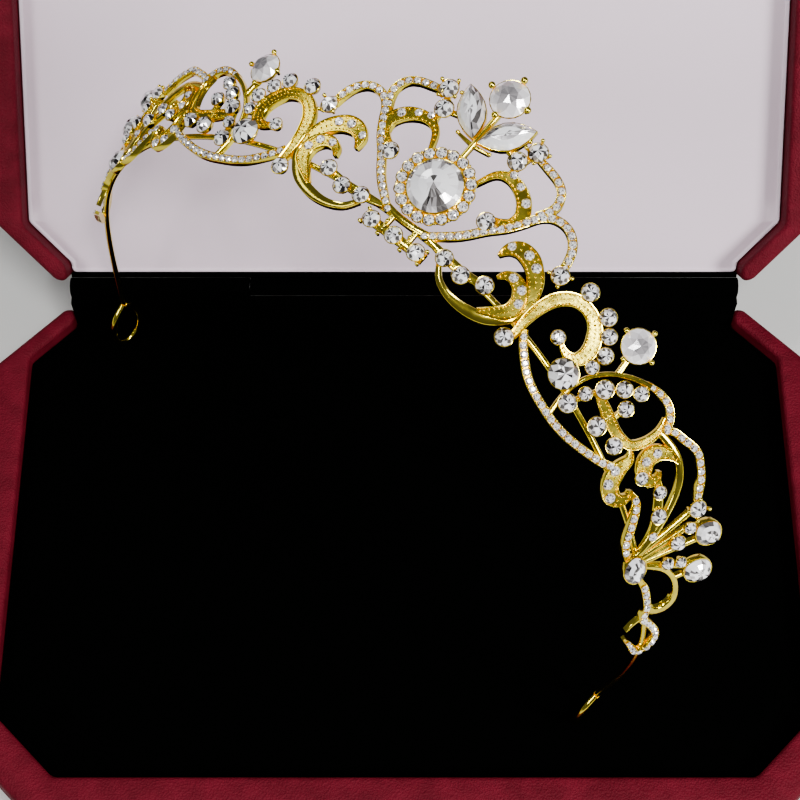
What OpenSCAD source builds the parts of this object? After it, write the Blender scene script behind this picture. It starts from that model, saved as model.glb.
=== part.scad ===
// Bridal crown standing in its open presentation box. Millimetres.
// The crown is drawn on a flat chart and bent to the head: s runs along the band from the
// middle to the right end, v runs up, w stands out from the band. The left half is a mirror.

/* [Crown band] */
// Turn of the band near the front, degrees per bend length
front_bend = 34.3; // [25:0.1:45]
// Extra turn towards the sides, degrees
side_bend = 18; // [10:0.1:25]
// Easing of the turn near the ends, degrees
end_bend = -3.5; // [-8:0.1:0]
// Length of band that the bends are given for
bend_length = 85; // [60:1:110]
// Outward lean of the ornament, mm out for each mm up
lean = 0.45; // [0:0.01:0.6]
// Band wire diameter
wire_d = 1.5; // [1:0.1:2.5]
// How far the ribbons' backs lie behind the chart
ribbon_back = 1.1; // [0.6:0.1:2]
// Front height of the plain gold strips
strip_front = 0.15; // [0:0.05:1]
// Front height of the stone-set ribbons
pave_front = 0.45; // [0:0.05:1.5]
// Floor height of the granulated scrolls
scroll_front = 0.3; // [0:0.05:1]
// Height of the raised rims on the granulated scrolls
rim_rise = 0.4; // [0.1:0.05:1]
// Top of the stone cups
cup_top = 0.75; // [0.5:0.05:2]
// Metal round a stone, beyond its own radius
cup_wall = 0.22; // [0.1:0.02:0.5]
// Width of the strips that join the cups
link_width = 1.4; // [0.8:0.1:2.5]

/* [Stones] */
// Centre stone diameter
centre_d = 13; // [8:0.5:16]
// Diameter of the stones round the centre stone
halo_d = 2.5; // [1.5:0.05:3]
// How many of them
halo_count = 18; // [12:1:24]
// Radius of their ring
halo_r = 7.95; // [6:0.05:10]
// Round stone at the top
top_d = 9.2; // [6:0.1:12]
// Length of the two leaf-shaped stones
leaf_length = 13.4; // [8:0.1:16]
// Width of the two leaf-shaped stones
leaf_width = 6.6; // [4:0.1:8]
// Large prong-set side stone
big_d = 7.9; // [5:0.1:10]
// Middle-sized side stone
middle_d = 6.9; // [4:0.1:8]
// Clearance between a stone and its cup
stone_gap = 0.08; // [0.03:0.01:0.3]

/* [Box] */
// Outside width
box_w = 240; // [200:1:300]
// Front edge of the box, measured from the middle of the pad
box_front = 76.5; // [60:0.5:100]
// Rear edge of the box
box_rear = 74; // [60:1:100]
// Height of the base
base_h = 30; // [20:1:60]
// Front corner chamfer outside
box_corner = 23.5; // [10:0.5:40]
// Rear corner chamfer outside
rear_corner = 20; // [10:0.5:40]
// Width of the rims
rim_w = 11; // [5:0.5:20]
// Width of the rims at the rear corners
corner_rim = 5; // [3:0.5:15]
// Height of the top of the pad
pad_top = 26; // [10:1:40]
// Thickness of the pad
pad_t = 18; // [4:1:24]
// Lid thickness
lid_t = 14; // [8:1:25]
// Depth of the satin below the lid's rim
lid_recess = 7; // [3:0.5:12]
// Gap between the closed lid and the base
lid_gap = 1; // [0.5:0.1:3]
// Opening of the lid, degrees from closed
lid_open = 140.5; // [0:0.5:150]
// Width of the velvet strip on the lid at the hinge
strip_w = 1.2; // [0.5:0.1:6]
// Height of the velvet wall along the hinge, above the pad
spine_h = 11.4; // [4:0.1:16]
// Thickness of that wall
spine_t = 2.7; // [1.5:0.1:10]
// Hinge pin diameter
pin_d = 2.4; // [1.5:0.1:4]

/* [Hidden] */
gold = [0.86, 0.68, 0.18];
crystal = [0.9, 0.92, 0.95];
velvet = [0.03, 0.03, 0.035];
steel = [0.5, 0.5, 0.52];
leatherette = [0.45, 0.02, 0.06];
satin = [0.88, 0.86, 0.89];
stretch = sqrt(1 + lean * lean);
back = -ribbon_back;
cup_floor = -0.6;
join_back = -0.8;
crown_turn = [-100.3, 0, -41.6];
crown_at = [-2.6, 25.1, 150.2];

// turn of the band at s, and the points of the band line, one for each mm
function turn_at(s) = let (t = s / bend_length)
    front_bend * t + side_bend * pow(t, 3) + end_bend * pow(t, 5);
band_line = [for (i = 0, x = 0, y = 0; i <= 200;
    x = x + cos(turn_at(i + 0.5)), y = y + sin(turn_at(i + 0.5)), i = i + 1) [x, y]];
function band_at(s) = let (i = floor(s), f = s - i)
    band_line[i] * (1 - f) + band_line[i + 1] * f;
function place(s, v, w) = let (a = abs(s), g = s < 0 ? -1 : 1, t = turn_at(a), b = band_at(a),
    out = lean * v + w / stretch)
    [g * (b[0] + out * sin(t)), b[1] - out * cos(t), v - w * lean / stretch];

// smooth curve through rows of numbers, n steps for each row
function row(rows, i) = rows[max(0, min(len(rows) - 1, i))];
function between(a, b, c, d, f) =
    0.5 * (2 * b + (c - a) * f + (2 * a - 5 * b + 4 * c - d) * f * f
    + (3 * b - a - 3 * c + d) * f * f * f);
function smooth_rows(rows, n) = [for (i = [0 : len(rows) - 2]) for (j = [0 : n - 1])
    between(row(rows, i - 1), rows[i], rows[i + 1], row(rows, i + 2), j / n),
    rows[len(rows) - 1]];

// chart tables, one row per point: [s, v, width]
centre_bar = [[-7.2, 4.7, 1.6], [-3.5, 4.0, 1.7], [0, 3.8, 1.8], [3.5, 4.0, 1.7], [7.2, 4.7, 1.6]];
base_plate = [[-8.8, 0.05, 3.2], [8.8, 0.05, 3.2]];
base_post = [[3.45, -0.35, 1.2], [3.3, 4, 1.2]];
leaf_base = [[-4.2, 25.4, 1.1], [0, 25, 1.7], [4.2, 25.4, 1.1]];
leaf_stem = [[0, 20.5, 1.2], [0, 33.6, 1.2]];
side_ribbon = [[5, 3.55, 1.7], [9.5, 6.8, 2.1], [12.3, 9.4, 2.1], [15, 12.8, 2.1], [17.8, 15.9, 2.1],
    [19.7, 18.9, 2.1], [21.3, 21.8, 2.1], [23.3, 23.6, 2.1], [25.9, 24.3, 2.1],
    [28.4, 23.8, 2.1], [30.6, 22, 2.1], [31.9, 19.4, 2.1], [32.4, 17, 1.8]];
upper_ribbon = [[12.2, 31.2, 1.6], [15.9, 30.7, 2], [18.8, 30.1, 2], [21, 28.8, 2], [22.2, 26.4, 2],
    [21.9, 24.2, 2], [20.6, 21.8, 1.8]];
inner_scroll = [[6.3, 18.6, 1], [8.1, 22.6, 1.6], [10.6, 24.1, 2.5], [13.6, 23.9, 3.1],
    [16.6, 22.3, 3.4], [18.4, 19.7, 3.3], [18, 17.2, 2.8], [16.1, 15.9, 2], [14, 15.3, 1.2]];
link_strip = [[6.8, 3.9, 1.4], [12, 3.4, 2.2], [18, 3.3, 2.2], [24.5, 4.4, 1.8]];
swoosh = [[11.8, 1.8, 1.2], [14.5, -1, 1.6], [18.6, -2.3, 2], [23.4, -2.1, 2.6], [28, -0.6, 2.8],
    [31.1, 2.2, 2.7], [32.8, 5.4, 2.4], [33.4, 8.6, 1.8]];
upper_crescent = [[20.6, 10.6, 0.9], [21.3, 12.9, 2.8], [23.2, 14.4, 4.1], [25.7, 14.5, 4.5],
    [28.1, 13.5, 4.2], [30.5, 11.5, 3.7], [32.3, 8.5, 2.8], [32.9, 5.6, 1.9]];
lower_crescent = [[23.7, 7, 0.9], [24.8, 8.6, 2.2], [26.8, 9.2, 3], [29, 8.5, 3.5],
    [30.7, 6.3, 3.7], [30.3, 3.1, 3.5], [25.5, -0.6, 1.2]];
side_scroll = [[35.1, 0.6, 1.8], [34.6, 5, 2.5], [34.8, 8.6, 3], [35.9, 12.2, 3.3],
    [38.3, 14.8, 3.3], [41.4, 15.6, 3.2], [44.6, 14.9, 3.3], [47.1, 12.8, 3.5],
    [48.6, 10.1, 3.6], [48.3, 7.6, 3.2], [46.6, 6.4, 2.4], [44.6, 6.5, 1.6], [43, 7.2, 1]];
swag = [[35.9, 3.6, 1.6], [37.6, 1.6, 2], [40.4, -0.5, 2.1], [43.7, -2.4, 2.1], [47.2, -3.5, 2.1],
    [51, -4.1, 2.1], [55, -4.4, 2.1], [59.2, -4.1, 2.1], [62.9, -3.3, 2.1], [66.5, -2.2, 2.1],
    [69.8, -0.9, 2.1], [72.4, 0.8, 1.9]];
wire_arc = [[53.2, -3.6, 1.1], [52.2, 0, 1.1], [52, 2.8, 1.1], [52.4, 6, 1.1], [53.9, 9.2, 1.1],
    [56.3, 12, 1.1], [59.3, 14.3, 1.2], [62.4, 15.9, 1.5], [65, 16.7, 1.9], [67.9, 16.8, 2],
    [70.4, 15.6, 2], [72, 13.6, 1.8]];
outer_arc = [[71.4, 12.6, 1.2], [73.2, 15, 1.8], [75.8, 16, 2], [78, 16.9, 2], [80.2, 17.4, 2],
    [82.3, 16.9, 2], [84.3, 16.3, 2], [86.1, 15.5, 2], [87.8, 14.4, 2], [89.8, 13.3, 1.8]];
stem_curl = [[56.6, 6.5, 1.8], [60, 5.7, 2.8], [63.5, 5, 2.9], [67, 4.8, 2.7], [70.2, 5.9, 2.4],
    [71.5, 9, 2], [71.3, 12.4, 1.6], [69.9, 15, 1.2]];
low_leaf = [[73, 3.9, 2.4], [73.2, 1.1, 3.6], [74.9, -1.7, 4.2], [77.5, -2.9, 4.1],
    [79.6, -1.7, 3], [79.9, 0.2, 1.8], [78.8, 1.2, 1]];
high_leaf = [[76.9, 12, 2.2], [75, 9.9, 3.5], [75.2, 7.1, 3.9], [77.6, 5.1, 3.8],
    [79.7, 5.8, 2.7], [79.9, 7.5, 1.6], [78.7, 8.4, 0.9]];
leaf_tail = [[71.7, 12.4, 1.6], [75.8, 13.1, 1.8], [79.4, 13, 1.8], [82.9, 11.7, 1.8],
    [85.9, 9.5, 1.6], [88.8, 6.5, 1.5], [91.6, 3.1, 1.4], [94.3, -0.8, 1.3], [95.6, -4.6, 1.2]];
middle_strand = [[79.6, 7.6, 1.2], [83.1, 6.6, 2.2], [88.1, 4.3, 2.4], [92.3, 1.6, 2],
    [95.4, -2.8, 1.2]];
low_strand = [[79.6, 1, 1.4], [82.6, 1.2, 2], [86.1, -1, 2.1], [90.1, -3.9, 2.1],
    [92.6, -4.8, 1.9], [96, -5, 1.4]];
ring_arc = [[98.2, -3.4, 1.4], [100.6, 0, 1.4], [103.3, 2.6, 1.4], [106.8, 4.1, 1.4],
    [110.8, 4.4, 1.5], [114.2, 3.6, 2.2], [115.9, 1.4, 2.7], [115.2, -1, 2.1], [113.2, -2.4, 1.3]];
end_row = [[100.6, -4, 1.2], [103.5, -3.3, 1.6], [105.7, -2.8, 2], [110, -2.6, 2], [113.6, -2.7, 2],
    [116.4, -3.5, 2.3], [118.4, -2.8, 1.8]];
end_hook = [[117.6, -3.2, 1.8], [120, -1.7, 2], [123, -0.3, 2.1], [126.5, 0.5, 2.1],
    [130, 0.1, 2.1], [132.2, -1.5, 2], [131.6, -3.6, 1.9], [128.6, -5, 1.8], [125, -6.4, 1.4],
    [122.6, -7.6, 0.9]];
hook_tip = [[116.2, -3.2, 1.4], [117.4, -5.6, 1.2], [119.2, -7.4, 0.7]];

// straight joining strips: [s, v] to [s, v]
joins = [[[10.2, 24.5], [11.2, 30.4]], [[6.6, 28.6], [9.9, 27.8]], [[54.8, 16.4], [56.2, 11.9]],
    [[56.8, 7.9], [62, 13.2]], [[62.9, 9], [63.1, 6]],
    [[54, 0.2], [56.8, 7.9]], [[62.1, 2.3], [62.4, 5.8]], [[67.9, 3], [68, 5.6]],
    [[107.2, 8.6], [107, 4.2]], [[91.4, 12.4], [95.4, -2.6]], [[94.9, 10], [96.4, -2]],
    [[97, 6.4], [97.4, -2.4]], [[99.4, 13.6], [98, -2.6]], [[106, 8.6], [98.9, -2]]];

// round stones in cups: [s, v, diameter]
round_stones = [[11.9, 31.9, 4.5], [9.9, 27.8, 4.4], [13.6, 14.1, 4.1], [32.9, 16.2, 4.1],
    [12.3, 2.9, 3.9], [17.6, 2.4, 4], [23, 4.1, 4], [34, -0.6, 4.1], [39.6, 18.3, 4],
    [45.8, 17.6, 3.9], [48.9, 15.2, 3.6], [51.4, 12.1, 3.7], [51.5, 8.6, 3.1], [42, 7.3, 3.2],
    [54, 0.2, 4.2], [54.9, 4.2, 3.1], [56.8, 7.9, 4.2], [59.4, 11.1, 3.8], [62.3, 13.4, 3.4],
    [62.9, 9, 3.6], [62.1, 2.2, 4.3], [67.9, 2.9, 3.9], [91.4, 12.7, 4.2], [94.9, 9.9, 2.9],
    [97, 6.4, 3.8], [102.5, 6.1, 2.8], [101.1, 3.1, 3.1], [83.1, 6.5, 3.2], [88.1, 4.3, 3.8],
    [77.8, 4.4, 3.1]];
base_row = [[-6.6, 0.05, 4], [0, 0.05, 4], [6.6, 0.05, 4]];
big_at = [54.2, 18.6];
middle_at = [48.6, 3.3];
top_at = [0, 37.2];
centre_at = [0, 13.3];
leaf_at = [4.75, 30.5];
leaf_angle = 49;
// pointed oval stones at the ends: [s, v, length, width, angle]
end_ovals = [[98.4, 13.5, 7.4, 6.2, 31], [107.2, 9.7, 8, 6.6, 45], [98.4, -4.2, 7.2, 5.6, -12]];
end_round = 0.65;
// prongs with ball tips: [s, v] round the stone at [s, v] of that diameter
prong_stones = [[11.9, 31.9, 4.5, 20], [32.9, 16.2, 4.1, 30],
    [91.4, 12.7, 4.2, 66], [54.2, 18.6, 7.9, 4]];

// [s, v, w] of the band wire and of the loop at its end
band_wire = [[0, 3.7, -1.5], [12, 3.7, -1.5], [24, 3.4, -1.5], [36, 2.9, -1.5], [48, 1.9, -1.5],
    [60, 0.6, -1.5], [72, -0.6, -1.5], [84, -1.6, -1.5], [96, -2.6, -1.5], [106, -2.8, -1.5],
    [116, -2.6, -1.3], [128, -1.9, -1], [142, -1.1, -0.9], [156, -0.5, -0.8],
    [171, 0, -0.8]];
end_loop = [[170, 0, -0.8], [173.7, 2.7, -2.4], [178.6, 3.7, -3], [183.5, 2.5, -2.3],
    [185.4, -0.3, -0.7], [183.3, -3, 0.9], [178.4, -4, 1.5], [173.3, -2.9, 0.8], [170, -0.3, -0.7]];

// joins rings of m points each to one closed skin
module skin(rings) {
    m = len(rings[0]);
    n = len(rings);
    polyhedron(
        points = [for (r = rings) for (p = r) p],
        faces = concat(
            [[for (i = [0 : m - 1]) i]],
            [for (k = [0 : n - 2]) for (i = [0 : m - 1]) let (j = (i + 1) % m)
                [k * m + j, k * m + i, (k + 1) * m + i]],
            [for (k = [0 : n - 2]) for (i = [0 : m - 1]) let (j = (i + 1) % m)
                [k * m + j, (k + 1) * m + i, (k + 1) * m + j]],
            [[for (i = [m - 1 : -1 : 0]) (n - 1) * m + i]]));
}

// unit side of the path at point i, on the chart
function side_at(path, i) = let (a = row(path, i - 1), b = row(path, i + 1),
    ds = b[0] - a[0], dv = (b[1] - a[1]) * stretch, l = max(0.001, norm([ds, dv])))
    [-dv / l, ds / l / stretch];

module ribbon(rows, n = 1, front = strip_front, back = -ribbon_back) {
    path = smooth_rows(rows, n);
    skin([for (i = [0 : len(path) - 1]) let (p = path[i], h = p[2] / 2, a = side_at(path, i) * h)
        [place(p[0] - a[0], p[1] - a[1], back), place(p[0] + a[0], p[1] + a[1], back),
         place(p[0] + a[0], p[1] + a[1], front), place(p[0] - a[0], p[1] - a[1], front)]]);
}

// granulated scroll: stands proud of the strips, with bevelled edges
module rimmed(rows, n = 1, front = scroll_front) {
    ribbon(rows, n, front + rim_rise, 0.05 - ribbon_back);
}

// round wire along rows of [s, v, w]
module wire(rows, n = 1, d = wire_d, sides = 6) {
    path = smooth_rows(rows, n);
    skin([for (i = [0 : len(path) - 1]) let (p = path[i], a = side_at(path, i))
        [for (k = [0 : sides - 1]) let (g = 210 + 360 * k / sides, c = cos(g) * d / 2)
            place(p[0] - a[0] * c, p[1] - a[1] * c, p[2] - sin(g) * d / 2)]]);
}

// moves children to the chart, x along the band, y up, z out
module on_chart(s, v, w = 0, turn = 0) {
    t = turn_at(abs(s)) * (s < 0 ? -1 : 1);
    p = place(s, v, w);
    multmatrix([[cos(t), lean * sin(t) / stretch, sin(t) / stretch, p[0]],
                [sin(t), -lean * cos(t) / stretch, -cos(t) / stretch, p[1]],
                [0, 1 / stretch, -lean / stretch, p[2]]])
        rotate([0, 0, turn]) children();
}

// cut stone with a flat back: girdle and table polygons turned half a step apart
module cut_stone(d, sides = 8, rise = 0.3, table = 0.56) {
    polyhedron(
        points = concat(
            [for (i = [0 : sides - 1]) [cos(360 * i / sides), sin(360 * i / sides), 0] * d / 2],
            [for (i = [0 : sides - 1]) let (g = 360 * (i + 0.5) / sides)
                [cos(g) * d / 2 * table, sin(g) * d / 2 * table, rise * d]]),
        faces = concat(
            [[for (i = [0 : sides - 1]) i]],
            [for (i = [0 : sides - 1]) [(i + 1) % sides, i, sides + i]],
            [for (i = [0 : sides - 1]) [(i + 1) % sides, sides + i, sides + (i + 1) % sides]],
            [[for (i = [sides - 1 : -1 : 0]) sides + i]]));
}

// outline of a pointed oval, half its points on each side; a smaller e gives rounder ends
function oval_outline(l, w, k = 6, e = 1) = concat(
    [for (i = [0 : k - 1]) let (x = -1 + 2 * i / k) [x * l / 2, -pow(1 - x * x, e) * w / 2]],
    [for (i = [0 : k - 1]) let (x = 1 - 2 * i / k) [x * l / 2, pow(1 - x * x, e) * w / 2]]);

module oval_stone(l, w, rise = 1.6, e = 1) {
    o = oval_outline(l, w, 6, e);
    n = len(o);
    polyhedron(
        points = concat([for (p = o) [p[0], p[1], 0]],
            [for (p = o) [p[0] * 0.55, p[1] * 0.5, rise]]),
        faces = concat(
            [[for (i = [0 : n - 1]) i]],
            [for (i = [0 : n - 1]) [(i + 1) % n, i, n + i]],
            [for (i = [0 : n - 1]) [(i + 1) % n, n + i, n + (i + 1) % n]],
            [[for (i = [n - 1 : -1 : 0]) n + i]]));
}

// four-sided prong, leaning outwards by the slant
module prong(r, angle, top, slant = 0.77) {
    h = top + 0.72 - cup_floor;
    rotate([0, 0, angle]) translate([r - slant, 0, cup_floor - 0.12])
        multmatrix([[1, 0, slant / h, 0], [0, 1, 0, 0], [0, 0, 1, 0]]) cylinder(d = 1, h = h, $fn = 4);
}

module cup(s, v, d, sides = 6, top = cup_top) {
    on_chart(s, v, cup_floor) rotate([0, 0, 180 / sides])
        cylinder(d1 = d * 0.85, d2 = d + 2 * cup_wall, h = top - cup_floor, $fn = sides);
}

module half_frame() {
    ribbon(side_ribbon, 1, pave_front);
    ribbon(upper_ribbon, 1, pave_front + 0.05, back - 0.07);
    rimmed(inner_scroll);
    ribbon(link_strip, 1, strip_front - 0.1, back - 0.05);
    rimmed(swoosh, 1, scroll_front - 0.25);
    rimmed(upper_crescent);
    rimmed(lower_crescent, 1, scroll_front + 0.1);
    rimmed(side_scroll, 1, scroll_front - 0.07);
    ribbon(swag, 1, pave_front);
    ribbon(wire_arc, 1, pave_front - 0.1, back - 0.06);
    ribbon(outer_arc, 1, pave_front + 0.1, back - 0.13);
    ribbon(stem_curl, 1, strip_front + 0.1, back + 0.07);
    rimmed(low_leaf);
    rimmed(high_leaf);
    ribbon(leaf_tail, 1, strip_front + 0.2);
    ribbon(middle_strand, 1, strip_front);
    ribbon(low_strand, 1, pave_front, back - 0.07);
    ribbon(ring_arc, 1, strip_front + 0.3, back + 0.08);
    ribbon(end_row, 1, pave_front, back - 0.07);
    ribbon(end_hook, 1, pave_front - 0.05);
    ribbon(hook_tip, 1, pave_front - 0.15);
    for (j = joins) ribbon([[j[0][0], j[0][1], link_width], [j[1][0], j[1][1], link_width]], 1,
        strip_front - 0.2, join_back);
    for (r = round_stones) cup(r[0], r[1], r[2]);
    cup(big_at[0], big_at[1], big_d, 10, 0.9);
    cup(middle_at[0], middle_at[1], middle_d, 8, 0.85);
    for (o = end_ovals) on_chart(o[0], o[1], back, o[4])
        linear_extrude(height = cup_top - back)
            polygon(oval_outline(o[2] + 0.7, o[3] + 0.6, 4, end_round));
    on_chart(leaf_at[0], leaf_at[1], back, leaf_angle)
        linear_extrude(height = cup_top - back)
            polygon(oval_outline(leaf_length + 0.5, leaf_width + 0.4, 4));
    for (r = prong_stones) for (a = [0 : 90 : 270])
        on_chart(r[0], r[1])
            prong(r[2] / 2 + 0.75, a + r[3], cup_top + 0.3, r[2] > 5 ? 0.8 : 1.05);
    for (x = [3.3, 8.5]) for (y = [-1.6, 1.65]) on_chart(x, y) prong(0, 0, cup_top, 0.1);
    wire(end_loop, 1);
}

module centre_frame() {
    ribbon(centre_bar, 1, strip_front + 0.1);
    ribbon(base_plate, 1, strip_front);
    both_sides() ribbon(base_post, 1, strip_front - 0.45, join_back);
    ribbon(leaf_base, 1, strip_front + 0.3);
    ribbon(leaf_stem, 1, strip_front);
    for (r = base_row) cup(r[0], r[1], r[2]);
    on_chart(centre_at[0], centre_at[1], back) linear_extrude(height = cup_top - back)
        polygon([for (i = [0 : 2 * halo_count - 1]) let (g = 180 / halo_count * i,
            r = halo_r + (i % 2 == 0 ? 1.5 : 1)) [cos(g), sin(g)] * r]);
    on_chart(centre_at[0], centre_at[1], back)
        cylinder(r = centre_d / 2 + 0.15, h = 1 - back, $fn = 20);
    cup(top_at[0], top_at[1], top_d, 12, 0.9);
    for (a = [0 : 90 : 270]) on_chart(top_at[0], top_at[1]) prong(top_d / 2 + 0.82, a, 1.4);
    full_wire = concat([for (i = [len(band_wire) - 1 : -1 : 1])
        [-band_wire[i][0], band_wire[i][1], band_wire[i][2]]], band_wire);
    wire(full_wire, 1);
}

module both_sides() {
    children();
    mirror([1, 0, 0]) children();
}

module crown_place() {
    translate(crown_at) rotate(crown_turn) children();
}

module crown_frame() color(gold) crown_place() union() {
    centre_frame();
    both_sides() half_frame();
}

module centre_stone() color(crystal) crown_place()
    on_chart(centre_at[0], centre_at[1], 1 + stone_gap) cut_stone(centre_d - 0.1, 16, 0.2, 0.3);

module halo_stones() color(crystal) crown_place()
    on_chart(centre_at[0], centre_at[1], cup_top + stone_gap) for (i = [0 : halo_count - 1])
        rotate([0, 0, 360 / halo_count * i]) translate([halo_r + 0.12, 0, 0]) cut_stone(halo_d);

module top_stone() color(crystal) crown_place()
    on_chart(top_at[0], top_at[1], 0.9 + stone_gap) cut_stone(top_d, 14, 0.24, 0.6);

module leaf_stone() on_chart(leaf_at[0], leaf_at[1], cup_top + stone_gap, leaf_angle)
    oval_stone(leaf_length, leaf_width, 2);
module leaf_stone_right() color(crystal) crown_place() leaf_stone();
module leaf_stone_left() color(crystal) crown_place() mirror([1, 0, 0]) leaf_stone();

module base_row_stones() color(crystal) crown_place()
    for (r = base_row) on_chart(r[0], r[1], cup_top + stone_gap) cut_stone(r[2], 10);

module round_set() for (r = round_stones) on_chart(r[0], r[1], cup_top + stone_gap) cut_stone(r[2]);
module round_stones_right() color(crystal) crown_place() round_set();
module round_stones_left() color(crystal) crown_place() mirror([1, 0, 0]) round_set();

module big_stone() on_chart(big_at[0], big_at[1], 0.9 + stone_gap) cut_stone(big_d, 14, 0.26, 0.6);
module big_stone_right() color(crystal) crown_place() big_stone();
module big_stone_left() color(crystal) crown_place() mirror([1, 0, 0]) big_stone();

module middle_stone() on_chart(middle_at[0], middle_at[1], 0.85 + stone_gap)
    cut_stone(middle_d, 12, 0.27, 0.58);
module middle_stone_right() color(crystal) crown_place() middle_stone();
module middle_stone_left() color(crystal) crown_place() mirror([1, 0, 0]) middle_stone();

module end_set() for (o = end_ovals) on_chart(o[0], o[1], cup_top + stone_gap, o[4])
    oval_stone(o[2], o[3], 1.5, end_round);
module end_stones_right() color(crystal) crown_place() end_set();
module end_stones_left() color(crystal) crown_place() mirror([1, 0, 0]) end_set();

// box: outline with chamfered corners
module outline() {
    w = box_w / 2;
    c = box_corner;
    d = rear_corner;
    polygon([[-w + c, -box_front], [w - c, -box_front], [w, c - box_front], [w, box_rear - d],
        [w - d, box_rear], [d - w, box_rear], [-w, box_rear - d], [-w, c - box_front]]);
}
spine_x = box_w / 2 - rear_corner - 3;
spine_y = box_rear - spine_t;

// the hollow inside the rims, open at the hinge, inset by e
module hollow(e = 0, end = box_rear + 1) {
    w = box_w / 2 - rim_w - e;
    f = rim_w + e - box_front;
    c = box_corner - (rim_w + e) * 0.59;
    k = box_w / 2 + box_rear - rear_corner - 1.414 * (corner_rim + e);
    x = spine_x - e;
    polygon([[c - w, f], [w - c, f], [w, f + c], [w, k - w], [x, k - x], [x, end], [-x, end],
        [-x, k - x], [-w, k - w], [-w, f + c]]);
}
lid_z = base_h + lid_gap;
lid_top = 3;
roll_d = pin_d + 2.8;
hinge_y = box_rear + roll_d / 2 + 0.1;
hinge_z = lid_z + lid_recess;
hinge_x = 45;

module box_base() color(leatherette) difference() {
    linear_extrude(height = base_h) outline();
    translate([0, 0, pad_top - pad_t]) linear_extrude(height = base_h) hollow();
}

// the pad fills the tray and runs back to the velvet wall at the hinge
module box_pad() color(velvet) translate([0, 0, pad_top - pad_t + 0.1])
    linear_extrude(height = pad_t - 0.1) hollow(0.2, spine_y - 0.2);

module box_spine() color(velvet) translate([-spine_x + 0.2, spine_y, pad_top - pad_t + 0.1])
    cube([2 * spine_x - 0.4, spine_t, spine_h + pad_t - 0.1]);

// swings the lid, drawn closed, to where it stands open
module lid_place() {
    translate([0, hinge_y, hinge_z]) rotate([-lid_open, 0, 0]) translate([0, -hinge_y, -hinge_z])
        children();
}

module lid_frame() color(leatherette) lid_place() difference() {
    translate([0, 0, lid_z]) linear_extrude(height = lid_t) outline();
    translate([0, 0, lid_z - 1]) linear_extrude(height = lid_t - lid_top + 1) hollow();
}

module lid_panel() color(satin) lid_place() translate([0, 0, hinge_z])
    linear_extrude(height = lid_t - lid_top - lid_recess - 0.1)
        hollow(0.2, box_rear - strip_w - 0.2);

module lid_strip() color(velvet) lid_place() translate([-spine_x + 0.2, box_rear - strip_w, hinge_z])
    cube([2 * spine_x - 0.4, strip_w + 0.05, lid_t - lid_top - lid_recess - 0.1]);

// velvet-covered hinge roll, from x = a to b, with its bore
module roll(a, b, bore) translate([a, hinge_y, hinge_z]) rotate([0, 90, 0]) difference() {
    cylinder(d = roll_d, h = b - a, $fn = 48);
    translate([0, 0, -1]) cylinder(d = bore, h = b - a + 2, $fn = 48);
}

// plate behind the box that carries the roll, clear of the bore
module roll_plate(a, b, z0, z1) difference() {
    translate([a, box_rear + 0.1, z0]) cube([b - a, 1.9, z1 - z0]);
    translate([a - 1, hinge_y, hinge_z]) rotate([0, 90, 0])
        cylinder(d = pin_d + 1, h = b - a + 2, $fn = 48);
}

module hinge_roll_left() color(velvet) {
    roll(-spine_x, -hinge_x, pin_d);
    roll_plate(-spine_x, -hinge_x, base_h - 16, hinge_z);
}
module hinge_roll_right() color(velvet) mirror([1, 0, 0]) hinge_roll_left();

module hinge_pin() color(steel) translate([-spine_x, hinge_y, hinge_z]) rotate([0, 90, 0])
    cylinder(d = pin_d - 0.02, h = 2 * spine_x, $fn = 48);

module lid_roll() color(velvet) lid_place() {
    roll(0.3 - hinge_x, hinge_x - 0.3, pin_d + 0.12);
    roll_plate(0.3 - hinge_x, hinge_x - 0.3, hinge_z, lid_z + lid_t);
}

crown_frame();
centre_stone();
halo_stones();
top_stone();
leaf_stone_left();
leaf_stone_right();
base_row_stones();
round_stones_left();
round_stones_right();
big_stone_left();
big_stone_right();
middle_stone_left();
middle_stone_right();
end_stones_left();
end_stones_right();
box_base();
box_pad();
box_spine();
hinge_roll_left();
hinge_roll_right();
hinge_pin();
lid_frame();
lid_panel();
lid_strip();
lid_roll();
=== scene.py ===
# Bridal crown in its open presentation box: metals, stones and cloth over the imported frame.
import math
import random

import bmesh
import bpy
from mathutils import Matrix, Vector


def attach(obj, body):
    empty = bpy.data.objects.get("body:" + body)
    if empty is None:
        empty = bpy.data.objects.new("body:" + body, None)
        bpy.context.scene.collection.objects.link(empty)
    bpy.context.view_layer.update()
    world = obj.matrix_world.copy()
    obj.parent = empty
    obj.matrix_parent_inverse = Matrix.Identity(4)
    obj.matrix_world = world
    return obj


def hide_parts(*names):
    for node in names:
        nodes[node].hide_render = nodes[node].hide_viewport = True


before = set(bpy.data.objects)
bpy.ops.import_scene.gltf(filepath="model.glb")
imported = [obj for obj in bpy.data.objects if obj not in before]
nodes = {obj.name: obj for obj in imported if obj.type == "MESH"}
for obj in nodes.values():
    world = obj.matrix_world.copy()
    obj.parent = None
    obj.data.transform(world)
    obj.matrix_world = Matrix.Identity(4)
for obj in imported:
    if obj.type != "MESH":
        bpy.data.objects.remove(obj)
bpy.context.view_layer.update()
mm = 0.001
print("frame loaded")

# camera, at the photograph's view
shot = {"place": (-0.0012, -0.18545, 0.49378), "tilt": 26.3, "lens": 81}
camera = bpy.data.objects.new("camera", bpy.data.cameras.new("camera"))
camera.data.lens = shot["lens"]
camera.data.sensor_width = 36
camera.data.clip_start = 0.01
camera.location = shot["place"]
camera.rotation_euler = (math.radians(shot["tilt"]), 0, 0)
bpy.context.scene.collection.objects.link(camera)
bpy.context.scene.camera = camera

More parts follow.
